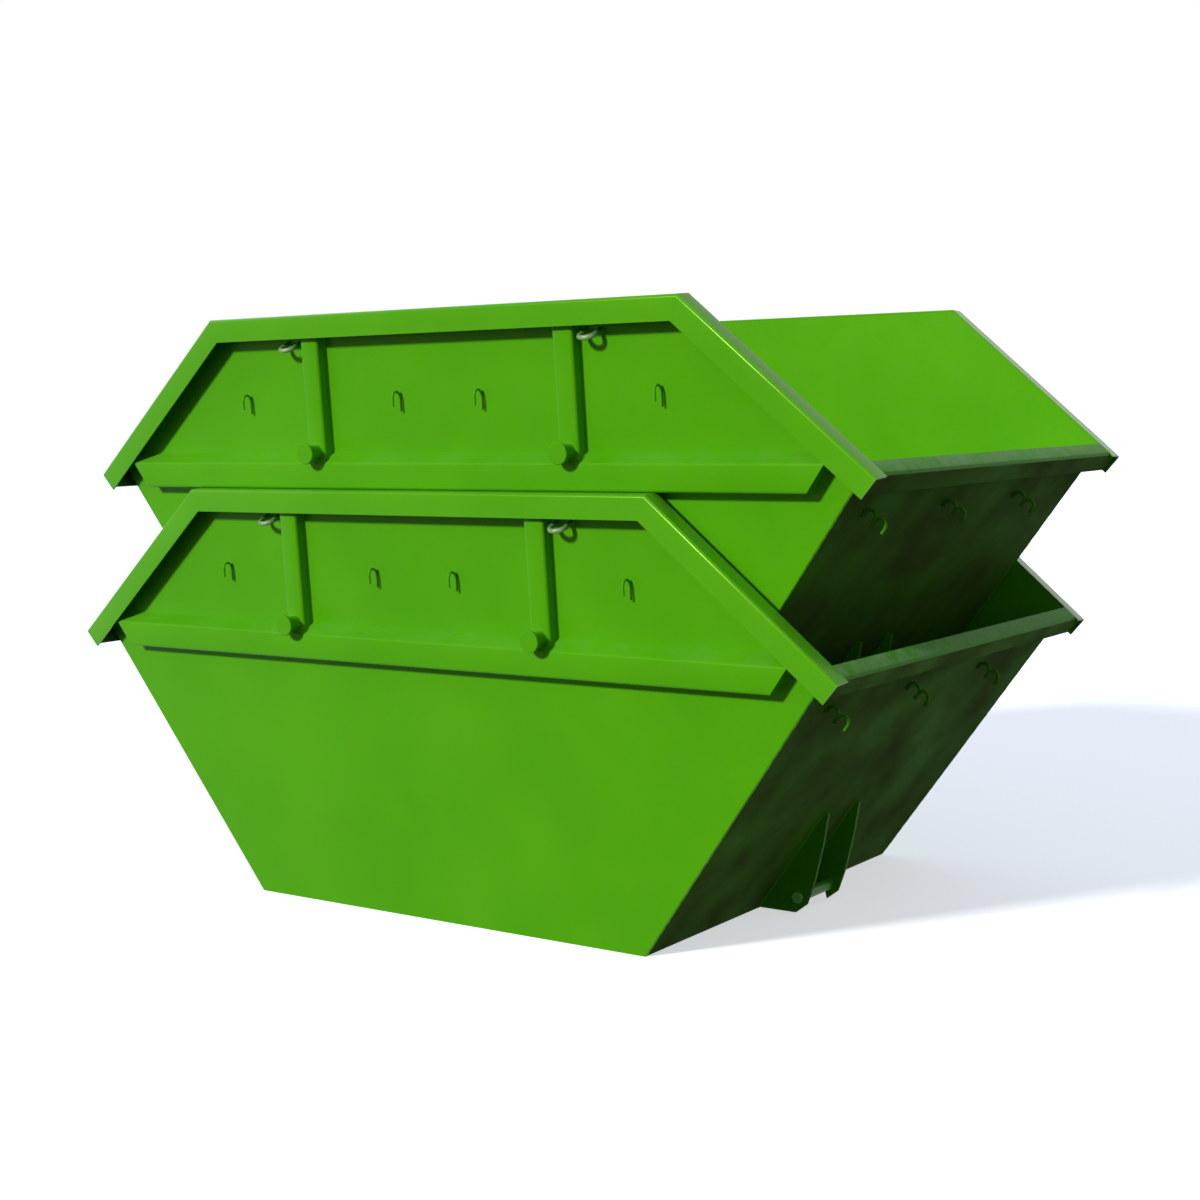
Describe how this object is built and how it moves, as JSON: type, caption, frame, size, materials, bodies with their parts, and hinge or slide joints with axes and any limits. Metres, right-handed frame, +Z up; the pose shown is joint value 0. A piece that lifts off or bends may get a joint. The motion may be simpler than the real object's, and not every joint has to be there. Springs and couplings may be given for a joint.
{
  "type": "nested skip pair",
  "caption": "Open steel skips for a skip loader, one nested in the other, with sloping ends, folded top rails, waist belts, trunnions, lifting eyes and tipping brackets.",
  "frame": {"origin": "on the ground, midway between the two skips: the bottom centre of the pair's box", "axes": "+Z up, X along the skips' length, the upper skip set towards +X, the front side towards -Y"},
  "size_m": [3.1868, 1.898, 1.981],
  "materials": {
    "green_paint": "satin",
    "floor_paint": "matt, dusty",
    "worn_paint": "worn"
  },
  "bodies": {
    "lower_skip": {"lower_floor_plate": "floor_paint", "lower_side_wall_front": "green_paint", "lower_side_wall_back": "green_paint", "lower_top_rail_front": "green_paint", "lower_top_rail_back": "green_paint", "lower_belt_front": "green_paint", "lower_belt_back": "green_paint", "lower_end_wall_right": "green_paint", "lower_end_wall_left": "green_paint", "lower_end_rim_right": "green_paint", "lower_end_rim_left": "green_paint", "lower_post_front_left": "green_paint", "lower_post_front_right": "green_paint", "lower_post_back_left": "green_paint", "lower_post_back_right": "green_paint", "lower_lifting_eye_front_left": "worn_paint", "lower_lifting_eye_front_right": "worn_paint", "lower_lifting_eye_back_left": "worn_paint", "lower_lifting_eye_back_right": "worn_paint", "lower_trunnion_front_left": "green_paint", "lower_trunnion_front_right": "green_paint", "lower_trunnion_back_left": "green_paint", "lower_trunnion_back_right": "green_paint", "lower_tipping_cheek_right_skid": "green_paint", "lower_tipping_cheek_right_claw": "green_paint", "lower_tipping_cheek_left_skid": "green_paint", "lower_tipping_cheek_left_claw": "green_paint", "lower_tipping_bar_right": "worn_paint", "lower_tipping_bar_left": "worn_paint"},
    "upper_skip": {"upper_floor_plate": "floor_paint", "upper_side_wall_front": "green_paint", "upper_side_wall_back": "green_paint", "upper_top_rail_front": "green_paint", "upper_top_rail_back": "green_paint", "upper_belt_front": "green_paint", "upper_belt_back": "green_paint", "upper_end_wall_right": "green_paint", "upper_end_wall_left": "green_paint", "upper_end_rim_right": "green_paint", "upper_end_rim_left": "green_paint", "upper_post_front_left": "green_paint", "upper_post_front_right": "green_paint", "upper_post_back_left": "green_paint", "upper_post_back_right": "green_paint", "upper_lifting_eye_front_left": "worn_paint", "upper_lifting_eye_front_right": "worn_paint", "upper_lifting_eye_back_left": "worn_paint", "upper_lifting_eye_back_right": "worn_paint", "upper_trunnion_front_left": "green_paint", "upper_trunnion_front_right": "green_paint", "upper_trunnion_back_left": "green_paint", "upper_trunnion_back_right": "green_paint", "upper_tipping_cheek_right_skid": "green_paint", "upper_tipping_cheek_right_claw": "green_paint", "upper_tipping_cheek_left_skid": "green_paint", "upper_tipping_cheek_left_claw": "green_paint", "upper_tipping_bar_right": "worn_paint", "upper_tipping_bar_left": "worn_paint"}
  },
  "joints": [
    {"name": "lift_off", "type": "slide", "parent": "lower_skip", "child": "upper_skip", "axis": [0, 0, 1], "range_m": [0, 0.9]}
  ]
}
